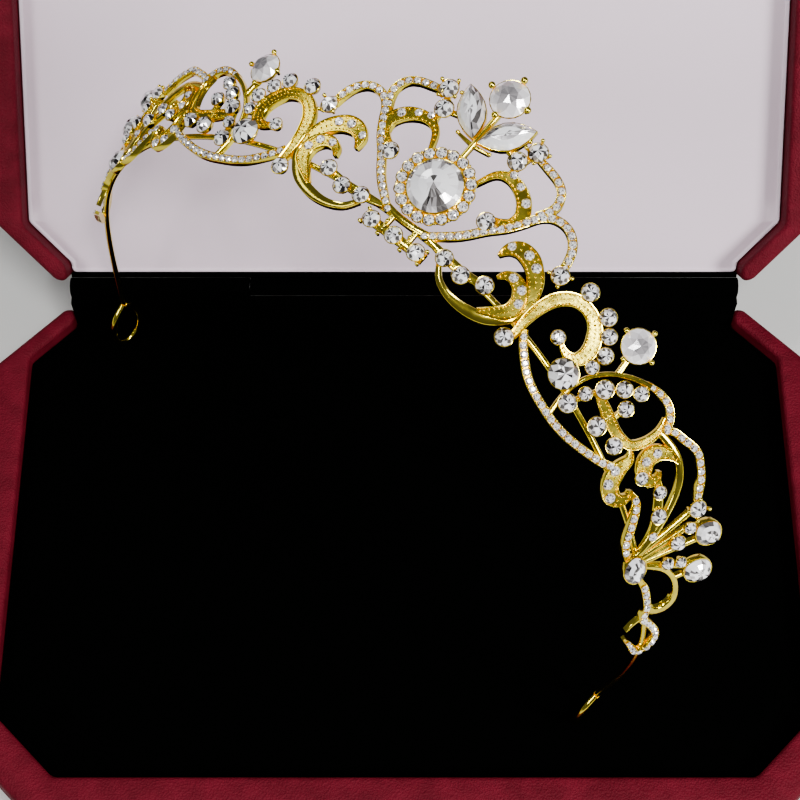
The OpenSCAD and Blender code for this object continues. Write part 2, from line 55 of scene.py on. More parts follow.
# the band's curve, as the solids have it
band = {"front": 34.3, "side": 18, "end": -3.5, "length": 85, "lean": 0.45, "reach": 200}
stretch = math.sqrt(1 + band["lean"] ** 2)
# how the crown stands in its box, mm and degrees
standing = {"place": (-2.6, 25.1, 150.2), "turn": -41.6, "tip": -100.3}
crownPlace = (Matrix.Translation(standing["place"]) @ Matrix.Rotation(math.radians(standing["turn"]), 4, "Z")
              @ Matrix.Rotation(math.radians(standing["tip"]), 4, "X"))


def turnAt(s):
    t = s / band["length"]
    return math.radians(band["front"] * t + band["side"] * t ** 3 + band["end"] * t ** 5)


bandLine = [(0.0, 0.0)]
for i in range(band["reach"]):
    x, y = bandLine[-1]
    bandLine.append((x + math.cos(turnAt(i + 0.5)), y + math.sin(turnAt(i + 0.5))))


def onBand(s, v, w):  # crown's own frame, mm
    side = -1 if s < 0 else 1
    a = abs(s)
    i = int(a)
    f = a - i
    bx = bandLine[i][0] * (1 - f) + bandLine[i + 1][0] * f
    by = bandLine[i][1] * (1 - f) + bandLine[i + 1][1] * f
    t = turnAt(a)
    out = band["lean"] * v + w / stretch
    return Vector((side * (bx + out * math.sin(t)), by - out * math.cos(t), v - w * band["lean"] / stretch))


def spot(s, v, w):  # the same point in metres, where the crown stands
    return (crownPlace @ onBand(s, v, w)) * mm


def seat(s, v, w=0.0, turn=0.0):  # takes a piece drawn in mm, z outwards, to its place on the band
    t = turnAt(abs(s)) * (-1 if s < 0 else 1)
    p = onBand(s, v, w)
    c, n, e = math.cos(t), math.sin(t), band["lean"]
    m = Matrix(((c, e * n / stretch, n / stretch, p.x), (n, -e * c / stretch, -c / stretch, p.y),
                (0, 1 / stretch, -e / stretch, p.z), (0, 0, 0, 1)))
    return Matrix.Scale(mm, 4) @ crownPlace @ m @ Matrix.Rotation(math.radians(turn), 4, "Z")


def smoothRows(rows, steps):
    made = []
    last = len(rows) - 1
    for i in range(last):
        a, b, c, d = rows[max(0, i - 1)], rows[i], rows[i + 1], rows[min(last, i + 2)]
        for j in range(steps):
            f = j / steps
            made.append([0.5 * (2 * q + (r - p) * f + (2 * p - 5 * q + 4 * r - t) * f * f
                                + (3 * q - p - 3 * r + t) * f ** 3) for p, q, r, t in zip(a, b, c, d)])
    made.append(list(rows[-1]))
    return made


def sideAt(path, i):
    a, b = path[max(0, i - 1)], path[min(len(path) - 1, i + 1)]
    ds, dv = b[0] - a[0], (b[1] - a[1]) * stretch
    run = max(0.001, math.hypot(ds, dv))
    return -dv / run, ds / run / stretch


def mirrored(rows):
    return [[-r[0]] + list(r[1:]) for r in rows]


# mesh helpers
def toObject(name, bm, smoothAngle=None):
    mesh = bpy.data.meshes.new(name)
    bm.to_mesh(mesh)
    bm.free()
    if smoothAngle:
        mesh.polygons.foreach_set("use_smooth", [True] * len(mesh.polygons))
        mesh.set_sharp_from_angle(angle=math.radians(smoothAngle))
    made = bpy.data.objects.new(name, mesh)
    bpy.context.scene.collection.objects.link(made)
    return made


def finished(source, name):  # the evaluated result as a plain mesh object
    graph = bpy.context.evaluated_depsgraph_get()
    mesh = bpy.data.meshes.new_from_object(source.evaluated_get(graph), preserve_all_data_layers=True,
                                           depsgraph=graph)
    source.modifiers.clear()
    made = bpy.data.objects.new(name, mesh)
    mesh.name = name
    bpy.context.scene.collection.objects.link(made)
    bpy.data.objects.remove(source)
    return made


def skin(bm, rings):  # a closed body through rings of points
    loops = [[bm.verts.new(p) for p in ring] for ring in rings]
    count = len(loops[0])
    faces = []
    for a, b in zip(loops, loops[1:]):
        for k in range(count):
            j = (k + 1) % count
            faces.append(bm.faces.new((a[k], a[j], b[j], b[k])))
    faces += [bm.faces.new(loops[0]), bm.faces.new(loops[-1])]
    bmesh.ops.recalc_face_normals(bm, faces=faces)


def sweep(bm, rows, section, steps=5):
    path = smoothRows(rows, steps)
    rings = []
    for i, row in enumerate(path):
        ds, dv = sideAt(path, i)
        rings.append([spot(row[0] + ds * o, row[1] + dv * o, w) for o, w in section(row[2] / 2)])
    skin(bm, rings)


def tube(bm, rows, radius, steps=6, sides=12):  # rows of s, v, w
    path = smoothRows(rows, steps)
    rings = []
    for i, row in enumerate(path):
        ds, dv = sideAt(path, i)
        ring = []
        for k in range(sides):
            g = 2 * math.pi * k / sides
            c = math.cos(g) * radius
            ring.append(spot(row[0] + ds * c, row[1] + dv * c, row[2] + math.sin(g) * radius))
        rings.append(ring)
    skin(bm, rings)


def circle(radius, sides, z, x=0.0, y=0.0):  # ring of points round x, y
    angles = [2 * math.pi * k / sides for k in range(sides)]
    return [Vector((x + radius * math.cos(a), y + radius * math.sin(a), z)) for a in angles]


def turned(bm, place, profile, sides=20):  # profile of radius, height, closed at both ends
    skin(bm, [[place @ p for p in circle(r, sides, z)] for r, z in profile])


def ball(bm, place, radius, detail=2):
    bmesh.ops.create_icosphere(bm, subdivisions=detail, radius=radius, matrix=place)


def rod(bm, place, low, high, lowRadius, highRadius, sides=8):
    ends = [circle(r, sides, p[2], p[0], p[1]) for p, r in ((low, lowRadius), (high, highRadius))]
    skin(bm, [[place @ p for p in ring] for ring in ends])


# sections of the cast ribbons: offset from the middle and height, for a half width h
def strip(h):
    return [(-h, -1.1), (-h, -0.15), (-0.86 * h, 0.08), (-0.5 * h, 0.19), (0, 0.23), (0.5 * h, 0.19),
            (0.86 * h, 0.08), (h, -0.15), (h, -1.1)]


def raisedStrip(h):
    return [(o, w + 0.2 if w > -1 else w) for o, w in strip(h)]


def channel(h):  # two rims that hold a row of fine stones
    e = min(1, h / 0.9)
    right = [(h - 0.36 * e, 0.02), (h - 0.3 * e, 0.36), (h - 0.18 * e, 0.46), (h - 0.07 * e, 0.44), (h, 0.3),
             (h, -1.1)]
    return [(-o, w) for o, w in reversed(right)] + right


def rimmed(front):  # wide floor at the given height between two rims
    def section(h):
        e = min(0.44, 0.5 * h)
        right = [(h - 1.1 * e, front), (h - 0.9 * e, front + 0.22), (h - 0.66 * e, front + 0.38),
                 (h - 0.3 * e, front + 0.39), (h, front + 0.2), (h, -1.05)]
        return [(-o, w) for o, w in reversed(right)] + right
    return section


def roundTop(h):  # wire
    return [(-h, -1.1), (-h, -0.05), (-0.87 * h, 0.5 * h), (-0.5 * h, 0.87 * h), (0, h), (0.5 * h, 0.87 * h),
            (0.87 * h, 0.5 * h), (h, -0.05), (h, -1.1)]


def hollowed(h):  # plain crescent with a soft dip between its edges
    right = [(0.0, 0.16), (0.45 * h, 0.18), (0.78 * h, 0.34), (0.92 * h, 0.42), (h, 0.3), (h, -1.1)]
    return [(-o, w) for o, w in reversed(right[1:])] + right


# crown metal: section, then rows of s (mm along the band), v (height), width
ribbons = {
    "sideRibbon": (channel, [[5, 3.55, 1.7], [9.5, 6.8, 2.1], [12.3, 9.4, 2.1], [15, 12.8, 2.1],
        [17.8, 15.9, 2.1], [19.7, 18.9, 2.1], [21.3, 21.8, 2.1], [23.3, 23.6, 2.1], [25.9, 24.3, 2.1],
        [28.4, 23.8, 2.1], [30.6, 22, 2.1], [31.9, 19.4, 2.1], [32.4, 17, 1.8]]),
    "upperRibbon": (channel, [[12.2, 31.2, 1.6], [15.9, 30.7, 2], [18.8, 30.1, 2], [21, 28.8, 2],
        [22.2, 26.4, 2], [21.9, 24.2, 2], [20.6, 21.8, 1.8]]),
    "innerScroll": (rimmed(0.3), [[6.3, 18.6, 1], [8.1, 22.6, 1.6], [10.6, 24.1, 2.5], [13.6, 23.9, 3.1],
        [16.6, 22.3, 3.4], [18.4, 19.7, 3.3], [18, 17.2, 2.8], [16.1, 15.9, 2], [14, 15.3, 1.2]]),
    "linkStrip": (strip, [[6.8, 3.9, 1.4], [12, 3.4, 2.2], [18, 3.3, 2.2], [24.5, 4.4, 1.8]]),
    "swoosh": (hollowed, [[11.8, 1.8, 1.2], [14.5, -1, 1.6], [18.6, -2.3, 2], [23.4, -2.1, 2.6],
        [28, -0.6, 2.8], [31.1, 2.2, 2.7], [32.8, 5.4, 2.4], [33.4, 8.6, 1.8]]),
    "upperCrescent": (rimmed(0.3), [[20.6, 10.6, 0.9], [21.3, 12.9, 2.8], [23.2, 14.4, 4.1],
        [25.7, 14.5, 4.5], [28.1, 13.5, 4.2], [30.5, 11.5, 3.7], [32.3, 8.5, 2.8], [32.9, 5.6, 1.9]]),
    "lowerCrescent": (rimmed(0.4), [[23.7, 7, 0.9], [24.8, 8.6, 2.2], [26.8, 9.2, 3], [29, 8.5, 3.5],
        [30.7, 6.3, 3.7], [30.3, 3.1, 3.5], [25.5, -0.6, 1.2]]),
    "sideScroll": (rimmed(0.3), [[35.1, 0.6, 1.8], [34.6, 5, 2.5], [34.8, 8.6, 3], [35.9, 12.2, 3.3],
        [38.3, 14.8, 3.3], [41.4, 15.6, 3.2], [44.6, 14.9, 3.3], [47.1, 12.8, 3.5], [48.6, 10.1, 3.6],
        [48.3, 7.6, 3.2], [46.6, 6.4, 2.4], [44.6, 6.5, 1.6], [43, 7.2, 1]]),
    "swag": (channel, [[35.9, 3.6, 1.6], [37.6, 1.6, 2], [40.4, -0.5, 2.1], [43.7, -2.4, 2.1],
        [47.2, -3.5, 2.1], [51, -4.1, 2.1], [55, -4.4, 2.1], [59.2, -4.1, 2.1], [62.9, -3.3, 2.1],
        [66.5, -2.2, 2.1], [69.8, -0.9, 2.1], [72.4, 0.8, 1.9]]),
    "wireArc": (roundTop, [[53.2, -3.6, 1.1], [52.2, 0, 1.1], [52, 2.8, 1.1], [52.4, 6, 1.1],
        [53.9, 9.2, 1.1], [56.3, 12, 1.1], [59.3, 14.3, 1.2], [62.4, 15.9, 1.4]]),
    "wireArcSet": (channel, [[61.6, 15.6, 1.4], [62.8, 16.1, 1.6], [65, 16.7, 1.9], [67.9, 16.8, 2],
        [70.4, 15.6, 2], [72, 13.6, 1.8]]),
    "outerArc": (channel, [[71.4, 12.6, 1.2], [73.2, 15, 1.8], [75.8, 16, 2], [78, 16.9, 2],
        [80.2, 17.4, 2], [82.3, 16.9, 2], [84.3, 16.3, 2], [86.1, 15.5, 2], [87.8, 14.4, 2],
        [89.8, 13.3, 1.8]]),
    "stemCurl": (rimmed(0.1), [[56.6, 6.5, 1.8], [60, 5.7, 2.8], [63.5, 5, 2.9], [67, 4.8, 2.7],
        [70.2, 5.9, 2.4], [71.5, 9, 2], [71.3, 12.4, 1.6], [69.9, 15, 1.2]]),
    "lowLeaf": (rimmed(0.3), [[71, 5.3, 1], [72.6, 4.2, 2.2], [73.2, 1.1, 3.7], [74.9, -1.7, 4.2],
        [77.5, -2.9, 4.1], [79.6, -1.7, 3], [79.9, 0.2, 1.8], [78.8, 1.2, 1]]),
    "highLeaf": (rimmed(0.3), [[79.4, 12.8, 1], [77.2, 12.1, 2.4], [75, 9.9, 3.7], [75.2, 7.1, 3.9],
        [77.6, 5.1, 3.8], [79.7, 5.8, 2.7], [79.9, 7.5, 1.6], [78.7, 8.4, 0.9]]),
    "leafTail": (raisedStrip, [[71.7, 12.4, 1.6], [75.8, 13.1, 1.8], [79.4, 13, 1.8], [82.9, 11.7, 1.8],
        [85.9, 9.5, 1.6], [88.8, 6.5, 1.5], [91.6, 3.1, 1.4], [94.3, -0.8, 1.3], [95.6, -4.6, 1.2]]),
    "middleStrand": (strip, [[79.6, 7.6, 1.2], [83.1, 6.6, 2.2], [88.1, 4.3, 2.4], [92.3, 1.6, 2],
        [95.4, -2.8, 1.2]]),
    "lowStrand": (channel, [[79.6, 1, 1.4], [82.6, 1.2, 2], [86.1, -1, 2.1], [90.1, -3.9, 2.1],
        [92.6, -4.8, 1.9], [96, -5, 1.4]]),
    "ringArc": (raisedStrip, [[98.2, -3.4, 1.4], [100.6, 0, 1.4], [103.3, 2.6, 1.4], [106.8, 4.1, 1.4],
        [110.8, 4.4, 1.5], [114.2, 3.6, 2.2], [115.9, 1.4, 2.7], [115.2, -1, 2.1], [113.2, -2.4, 1.3]]),
    "endRow": (channel, [[100.6, -4, 1.2], [103.5, -3.3, 1.6], [105.7, -2.8, 2], [110, -2.6, 2],
        [113.6, -2.7, 2], [116.4, -3.5, 2.3], [118.4, -2.8, 1.8]]),
    "endHook": (channel, [[117.6, -3.2, 1.8], [120, -1.7, 2], [123, -0.3, 2.1], [126.5, 0.5, 2.1],
        [130, 0.1, 2.1], [132.2, -1.5, 2], [131.6, -3.6, 1.9], [128.6, -5, 1.8], [125, -6.4, 1.4],
        [122.6, -7.6, 0.9]]),
    "hookTip": (strip, [[116.2, -3.2, 1.4], [117.4, -5.6, 1.2], [119.2, -7.4, 0.7]]),
}
centreStrips = {
    "centreBar": (raisedStrip, [[-7.2, 4.7, 1.6], [-3.5, 4.0, 1.7], [0, 3.8, 1.8], [3.5, 4.0, 1.7],
        [7.2, 4.7, 1.6]]),
    "basePlate": (strip, [[-8.8, 0.05, 2.6], [-3.3, 0.05, 2.3], [0, 0.05, 2.6], [3.3, 0.05, 2.3],
        [8.8, 0.05, 2.6]]),
    "leafBase": (strip, [[-4.2, 25.4, 0.7], [0, 25, 1.0], [4.2, 25.4, 0.7]]),
    "leafStem": (roundTop, [[0, 20.5, 1.1], [0, 33.6, 1.1]]),
}
basePost = [[3.45, -0.35, 1.2], [3.3, 4, 1.2]]
# short bars from s, v to s, v
joins = [[10.2, 24.5, 11.2, 30.4], [6.6, 28.6, 9.9, 27.8], [54.8, 16.4, 56.2, 11.9], [56.8, 7.9, 62, 13.2],
         [62.9, 9, 63.1, 6], [54, 0.2, 56.8, 7.9], [62.1, 2.3, 62.4, 5.8],
         [67.9, 3, 68, 5.6], [107.2, 8.6, 107, 4.2], [91.4, 12.4, 95.4, -2.6], [94.9, 10, 96.4, -2],
         [97, 6.4, 97.4, -2.4], [99.4, 13.6, 98, -2.6], [106, 8.6, 98.9, -2]]
# s, v, diameter
roundStones = [[11.9, 31.9, 4.5], [9.9, 27.8, 4.4], [13.6, 14.1, 4.1], [32.9, 16.2, 4.1],
               [12.3, 2.9, 3.9], [17.6, 2.4, 4], [23, 4.1, 4], [34, -0.6, 4.1], [39.6, 18.3, 4],
               [45.8, 17.6, 3.9], [48.9, 15.2, 3.6], [51.4, 12.1, 3.7], [51.5, 8.6, 3.1], [42, 7.3, 3.2],
               [54, 0.2, 4.2], [54.9, 4.2, 3.1], [56.8, 7.9, 4.2], [59.4, 11.1, 3.8], [62.3, 13.4, 3.4],
               [62.9, 9, 3.6], [62.1, 2.2, 4.3], [67.9, 2.9, 3.9], [91.4, 12.7, 4.2], [94.9, 9.9, 2.9],
               [97, 6.4, 3.8], [102.5, 6.1, 2.8], [101.1, 3.1, 3.1], [83.1, 6.5, 3.2], [88.1, 4.3, 3.8],
               [77.8, 4.4, 3.1]]
baseRow = [[-6.6, 0.05, 4], [0, 0.05, 4], [6.6, 0.05, 4]]
# round stones: s, v, diameter; pointed ovals: s, v, length, width, turn
stones = {"centre": (0, 13.3, 12.9), "halo": 18, "haloRadius": 8.07, "haloSize": 2.5, "top": (0, 37.2, 9.2),
          "leaf": (4.75, 30.5, 13.4, 6.6, 49), "big": (54.2, 18.6, 7.9), "middle": (48.6, 3.3, 6.9),
          "ovals": [(98.4, 13.5, 7.4, 6.2, 31), (107.2, 9.7, 8, 6.6, 45), (98.4, -4.2, 7.2, 5.6, -12)],
          "ovalEnd": 0.65, "cupTop": 0.75}
prongStones = [[11.9, 31.9, 4.5, 20], [32.9, 16.2, 4.1, 30], [91.4, 12.7, 4.2, 66],
               [54.2, 18.6, 7.9, 0]]  # s, v, diameter, first claw's angle
wire = {"band": 0.75, "endLoop": 0.92}  # radii
# rows of s, v, w, where w is the distance out from the band's face
bandWire = [[0, 3.7, -1.5], [12, 3.7, -1.5], [24, 3.4, -1.5], [36, 2.9, -1.5], [48, 1.9, -1.5],
            [60, 0.6, -1.5], [72, -0.6, -1.5], [84, -1.6, -1.5], [96, -2.6, -1.5], [106, -2.8, -1.5],
            [116, -2.6, -1.3], [128, -1.9, -1], [142, -1.1, -0.9], [156, -0.5, -0.8], [171, 0, -0.8]]
endLoop = [[170, 0, -0.8], [173.7, 2.7, -2.4], [178.6, 3.7, -3], [183.5, 2.5, -2.3], [185.4, -0.3, -0.7],
           [183.3, -3, 0.9], [178.4, -4, 1.5], [173.3, -2.9, 0.8], [170, -0.3, -0.7]]


def ovalOutline(length, width, k=10, e=1.0):  # pointed oval, rounder at the ends for a smaller e
    made = []
    for i in range(2 * k):
        x = math.cos(math.pi * (1 + i / k))
        y = max(0, 1 - x * x) ** e * (-1 if i < k else 1)
        made.append((x * length / 2, y * width / 2))
    return made


def bezel(bm, place, outline, top):  # open-topped setting round a shaped stone
    steps = [(0.96, -1.1), (1.0, -0.9), (1.0, top - 0.1), (0.985, top), (0.94, top + 0.02), (0.9, top - 0.12)]
    skin(bm, [[place @ Vector((x * k, y * k, z)) for x, y in outline] for k, z in steps])


def cup(bm, place, size, top=0.75):
    r = size / 2
    profile = [(r * 0.6, -0.9), (r * 0.84, -0.6), (r * 0.95, 0.1), (r + 0.16, top - 0.25),
               (r + 0.2, top - 0.05), (r + 0.13, top + 0.05), (r * 0.93, top), (r * 0.85, top - 0.15)]
    turned(bm, place, profile)


# claws: radii of foot and neck, where they start and lean to, balls at their tips
claws = {"foot": 0.42, "neck": 0.36, "inset": 0.55, "out": 0.12, "low": -0.5, "ball": 0.5, "largeBall": 0.68,
         "topBall": 0.87, "leafBall": 0.55, "gap": 0.45, "rise": 0.5, "topGap": 0.5, "topRise": 1.7}
baseClaws = {"s": (3.3, 8.5), "v": (-1.6, 1.65), "height": 0.7, "foot": 0.4, "neck": 0.34}
leafClaws = {"onStone": (5.0, -2.1, 0.45), "onBase": (4.3, 25.4, 0.2)}
haloBeads = {"radius": 9.0, "height": 0.6, "ball": 0.34}
cupTops = {"big": 0.9, "middle": 0.85}
joinWidth = {"end": 1.4, "middle": 1.2}
# metal round the centre stone: radius, height
centreSetting = [(6.1, -1.1), (8.6, -1.1), (8.7, -0.2), (8.5, 0.3), (8.0, 0.4), (6.76, 0.4), (6.74, 0.95),
                 (6.58, 1.08), (6.4, 0.95)]


def prong(bm, place, radius, angle, top, tip):
    high = (radius + claws["out"], 0, top)
    turn = place @ Matrix.Rotation(math.radians(angle), 4, "Z")
    rod(bm, turn, (radius - claws["inset"], 0, claws["low"]), high, claws["foot"], claws["neck"])
    ball(bm, turn @ Matrix.Translation(high), tip)


def halfMetal(bm, side):
    flip = (lambda rows: rows) if side > 0 else mirrored
    for section, rows in ribbons.values():
        sweep(bm, flip(rows), section)
    wide, thin = joinWidth["end"], joinWidth["middle"]
    for a, b, c, d in joins:
        sweep(bm, flip([[a, b, wide], [(a + c) / 2, (b + d) / 2, thin], [c, d, wide]]), strip, 2)
    sweep(bm, flip(basePost), strip, 2)
    for s, v, d in roundStones:
        cup(bm, seat(s * side, v), d)
    for name in ("big", "middle"):
        s, v, d = stones[name]
        cup(bm, seat(s * side, v), d, cupTops[name])
    for s, v, length, width, turn in stones["ovals"]:
        outline = ovalOutline(length + 0.7, width + 0.6, 10, stones["ovalEnd"])
        bezel(bm, seat(s * side, v, 0, turn * side), outline, stones["cupTop"])
    s, v, length, width, turn = stones["leaf"]
    leafSeat = seat(s * side, v, 0, turn * side)
    bezel(bm, leafSeat, ovalOutline(length + 0.5, width + 0.4), stones["cupTop"])
    x, y, z = leafClaws["onStone"]
    ball(bm, leafSeat @ Matrix.Translation((x * side, y, z)), claws["leafBall"])
    s, v, w = leafClaws["onBase"]
    ball(bm, seat(s * side, v, w), claws["leafBall"])
    for s, v, d, first in prongStones:
        tip = claws["ball"] if d < 5 else claws["largeBall"]
        for a in range(0, 360, 90):
            prong(bm, seat(s * side, v), d / 2 + claws["gap"], (a + first) * side,
                  stones["cupTop"] + claws["rise"], tip)
    for s in baseClaws["s"]:
        for v in baseClaws["v"]:
            ball(bm, seat(s * side, v, baseClaws["height"]), claws["ball"])
            rod(bm, seat(s * side, v), (0, 0, claws["low"]), (0, 0, baseClaws["height"]),
                baseClaws["foot"], baseClaws["neck"])
    tube(bm, flip(endLoop), wire["endLoop"])


def byHalo(place, step, radius, z=0.0):  # a place round the centre stone, counted in halo stones
    turn = Matrix.Rotation(2 * math.pi * step / stones["halo"], 4, "Z")
    return place @ turn @ Matrix.Translation((radius, 0, z))


crown = bmesh.new()
for section, rows in centreStrips.values():
    sweep(crown, rows, section, 4)
for side in (1, -1):
    halfMetal(crown, side)
for s, v, d in baseRow:
    cup(crown, seat(s, v), d)
middle = seat(stones["centre"][0], stones["centre"][1])
turned(crown, middle, centreSetting, 54)
for i in range(stones["halo"]):
    cup(crown, byHalo(middle, i, stones["haloRadius"]), stones["haloSize"] + 0.1)
    ball(crown, byHalo(middle, i + 0.5, haloBeads["radius"], haloBeads["height"]), haloBeads["ball"], 1)
topS, topV, topSize = stones["top"]
cup(crown, seat(topS, topV), topSize, cupTops["big"])
for a in range(0, 360, 90):
    prong(crown, seat(topS, topV), topSize / 2 + claws["topGap"], a, claws["topRise"], claws["topBall"])
tube(crown, mirrored(bandWire[:0:-1]) + bandWire, wire["band"])
crownMetal = toObject("crownMetal", crown, 48)
print("crown metal:", len(crownMetal.data.polygons), "faces")


# cut stones of unit diameter, whose faces carry a glint value: a painted reflection, bright or dark, for each
# facet
def gemMesh(name, rise=0.3, table=0.56, seed=1, soft=False, lighter=0.0):
    bm = bmesh.new()
    glint = bm.faces.layers.float.new("glint")
    rng = random.Random(seed)

    def lay(r, angle, z):
        a = math.radians(angle)
        return bm.verts.new((0.5 * r * math.cos(a), 0.5 * r * math.sin(a), z))

    girdle = [lay(1, 22.5 * j, 0) for j in range(16)]
    kite = [lay((1 + table) / 2 * 0.98, 45 * i + 22.5, rise * 0.62) for i in range(8)]
    top = [lay(table, 45 * i, rise) for i in range(8)]
    mid = [lay(table * 0.924, 45 * i + 22.5, rise) for i in range(8)]  # on the table's straight edges
    centre = bm.verts.new((0, 0, rise * (1.1 if soft else 1)))

    def face(points, value):
        # painted reflection: soft stones paler towards the rim and darker in the middle
        if soft:  # paler towards the rim, darker in the middle
            reach = sum((p.co.x ** 2 + p.co.y ** 2) ** 0.5 for p in points) / len(points)
            value = 2.9 * reach - 0.36 + 0.16 * (value - 0.5)
        f = bm.faces.new(points)
        f[glint] = max(0.0, min(1.0, value + lighter + (0 if soft else rng.uniform(-0.18, 0.18))))

    for i in range(8):
        j = (i + 1) % 8
        face((top[i], kite[i], mid[i]), rng.choice((0.95, 0.6, 0.2)))
        face((mid[i], kite[i], top[j]), rng.choice((0.9, 0.4, 1.0)))
        face((top[j], kite[i], girdle[(2 * i + 2) % 16], kite[j]), rng.choice((1.0, 0.75, 0.3, 0.12)))
        face((kite[i], girdle[2 * i], girdle[2 * i + 1]), rng.choice((0.1, 0.55, 0.95)))
        face((kite[i], girdle[2 * i + 1], girdle[(2 * i + 2) % 16]), rng.choice((0.1, 0.5, 0.9)))
        face((centre, top[i], mid[i]), rng.choice((0.05, 0.55, 1.0)))
        face((centre, mid[i], top[j]), rng.choice((0.3, 0.9, 1.0)))
    low = [lay(0.9, 22.5 * j, -0.04) for j in range(16)]
    for j in range(16):
        face((girdle[j], low[j], low[(j + 1) % 16], girdle[(j + 1) % 16]), 0.4)
    face(low[::-1], 0.3)
    bmesh.ops.recalc_face_normals(bm, faces=bm.faces[:])
    return toObject(name, bm)


def stoneTree(name):  # gems on points: turned to their facing, sized, spun at random, made real
    tree = bpy.data.node_groups.new(name, "GeometryNodeTree")
    face = tree.interface
    face.new_socket("Geometry", in_out="INPUT", socket_type="NodeSocketGeometry")
    face.new_socket("Gem", in_out="INPUT", socket_type="NodeSocketObject")
    face.new_socket("Spin", in_out="INPUT", socket_type="NodeSocketFloat")
    face.new_socket("Seed", in_out="INPUT", socket_type="NodeSocketInt")
    face.new_socket("Finish", in_out="INPUT", socket_type="NodeSocketMaterial")
    face.new_socket("Geometry", in_out="OUTPUT", socket_type="NodeSocketGeometry")
    add = tree.nodes.new
    link = tree.links.new
    given = add("NodeGroupInput")
    facing = add("GeometryNodeInputNamedAttribute")
    facing.data_type = "FLOAT_VECTOR"
    facing.inputs["Name"].default_value = "facing"
    size = add("GeometryNodeInputNamedAttribute")
    size.data_type = "FLOAT"
    size.inputs["Name"].default_value = "size"
    align = add("FunctionNodeAlignRotationToVector")
    align.axis = "Z"
    chance = add("FunctionNodeRandomValue")
    chance.data_type = "FLOAT"
    spin = add("FunctionNodeAxisAngleToRotation")
    spin.inputs["Axis"].default_value = (0, 0, 1)
    turn = add("FunctionNodeRotateRotation")
    turn.rotation_space = "LOCAL"
    gem = add("GeometryNodeObjectInfo")
    onPoints = add("GeometryNodeInstanceOnPoints")
    real = add("GeometryNodeRealizeInstances")
    paint = add("GeometryNodeSetMaterial")
    done = add("NodeGroupOutput")
    link(facing.outputs["Attribute"], align.inputs["Vector"])
    link(given.outputs["Spin"], chance.inputs[3])
    link(given.outputs["Seed"], chance.inputs["Seed"])
    link(chance.outputs[1], spin.inputs["Angle"])
    link(align.outputs["Rotation"], turn.inputs["Rotation"])
    link(spin.outputs["Rotation"], turn.inputs["Rotate By"])
    link(given.outputs["Gem"], gem.inputs["Object"])
    link(given.outputs["Geometry"], onPoints.inputs["Points"])
    link(gem.outputs["Geometry"], onPoints.inputs["Instance"])
    link(turn.outputs["Rotation"], onPoints.inputs["Rotation"])
    link(size.outputs["Attribute"], onPoints.inputs["Scale"])
    link(onPoints.outputs["Instances"], real.inputs["Geometry"])
    link(real.outputs["Geometry"], paint.inputs["Geometry"])
    link(given.outputs["Finish"], paint.inputs["Material"])
    link(paint.outputs["Geometry"], done.inputs["Geometry"])
    return tree


gemTree = stoneTree("stonesOnPoints")


def setOnPoints(name, points, gem, finish, seed, spin=6.283):  # points of place matrix, size in mm
    mesh = bpy.data.meshes.new(name + "Points")
    mesh.from_pydata([m.to_translation() for m, _ in points], [], [])
    mesh.attributes.new("facing", "FLOAT_VECTOR", "POINT")
    mesh.attributes.new("size", "FLOAT", "POINT")
    for i, (m, d) in enumerate(points):
        mesh.attributes["facing"].data[i].vector = (m.to_3x3() @ Vector((0, 0, 1))).normalized()
        mesh.attributes["size"].data[i].value = d * mm
    source = bpy.data.objects.new(name + "Points", mesh)
    bpy.context.scene.collection.objects.link(source)
    nodesMod = source.modifiers.new("stones", "NODES")
    nodesMod.node_group = gemTree
    socket = {s.name: s.identifier for s in gemTree.interface.items_tree if s.in_out == "INPUT"}
    nodesMod[socket["Gem"]] = gem
    nodesMod[socket["Spin"]] = spin
    nodesMod[socket["Seed"]] = seed
    nodesMod[socket["Finish"]] = finish
    return finished(source, name)


# materials
def newMaterial(name, colour, metallic=0.0, roughness=0.5):
    made = bpy.data.materials.new(name)
    made.use_nodes = True
    shader = made.node_tree.nodes["Principled BSDF"]
    shader.inputs["Base Color"].default_value = (*colour, 1)
    shader.inputs["Metallic"].default_value = metallic
    shader.inputs["Roughness"].default_value = roughness
    return made, shader


def texture(made, kind, scale, **more):
    coords = made.node_tree.nodes.new("ShaderNodeTexCoord")
    node = made.node_tree.nodes.new(kind)
    node.inputs["Scale"].default_value = scale
    for key, value in more.items():
        node.inputs[key].default_value = value
    made.node_tree.links.new(coords.outputs["Object"], node.inputs["Vector"])
    return node


def ramp(made, source, stops):
    node = made.node_tree.nodes.new("ShaderNodeValToRGB")
    while len(node.color_ramp.elements) < len(stops):
        node.color_ramp.elements.new(0.5)
    for element, (at, colour) in zip(node.color_ramp.elements, stops):
        element.position = at
        element.color = (*colour, 1) if isinstance(colour, tuple) else (colour, colour, colour, 1)
    made.node_tree.links.new(source, node.inputs["Fac"])
    return node


def bump(made, shader, height, strength, distance):
    node = made.node_tree.nodes.new("ShaderNodeBump")
    node.inputs["Strength"].default_value = strength
    node.inputs["Distance"].default_value = distance
    made.node_tree.links.new(height, node.inputs["Height"])
    made.node_tree.links.new(node.outputs["Normal"], shader.inputs["Normal"])
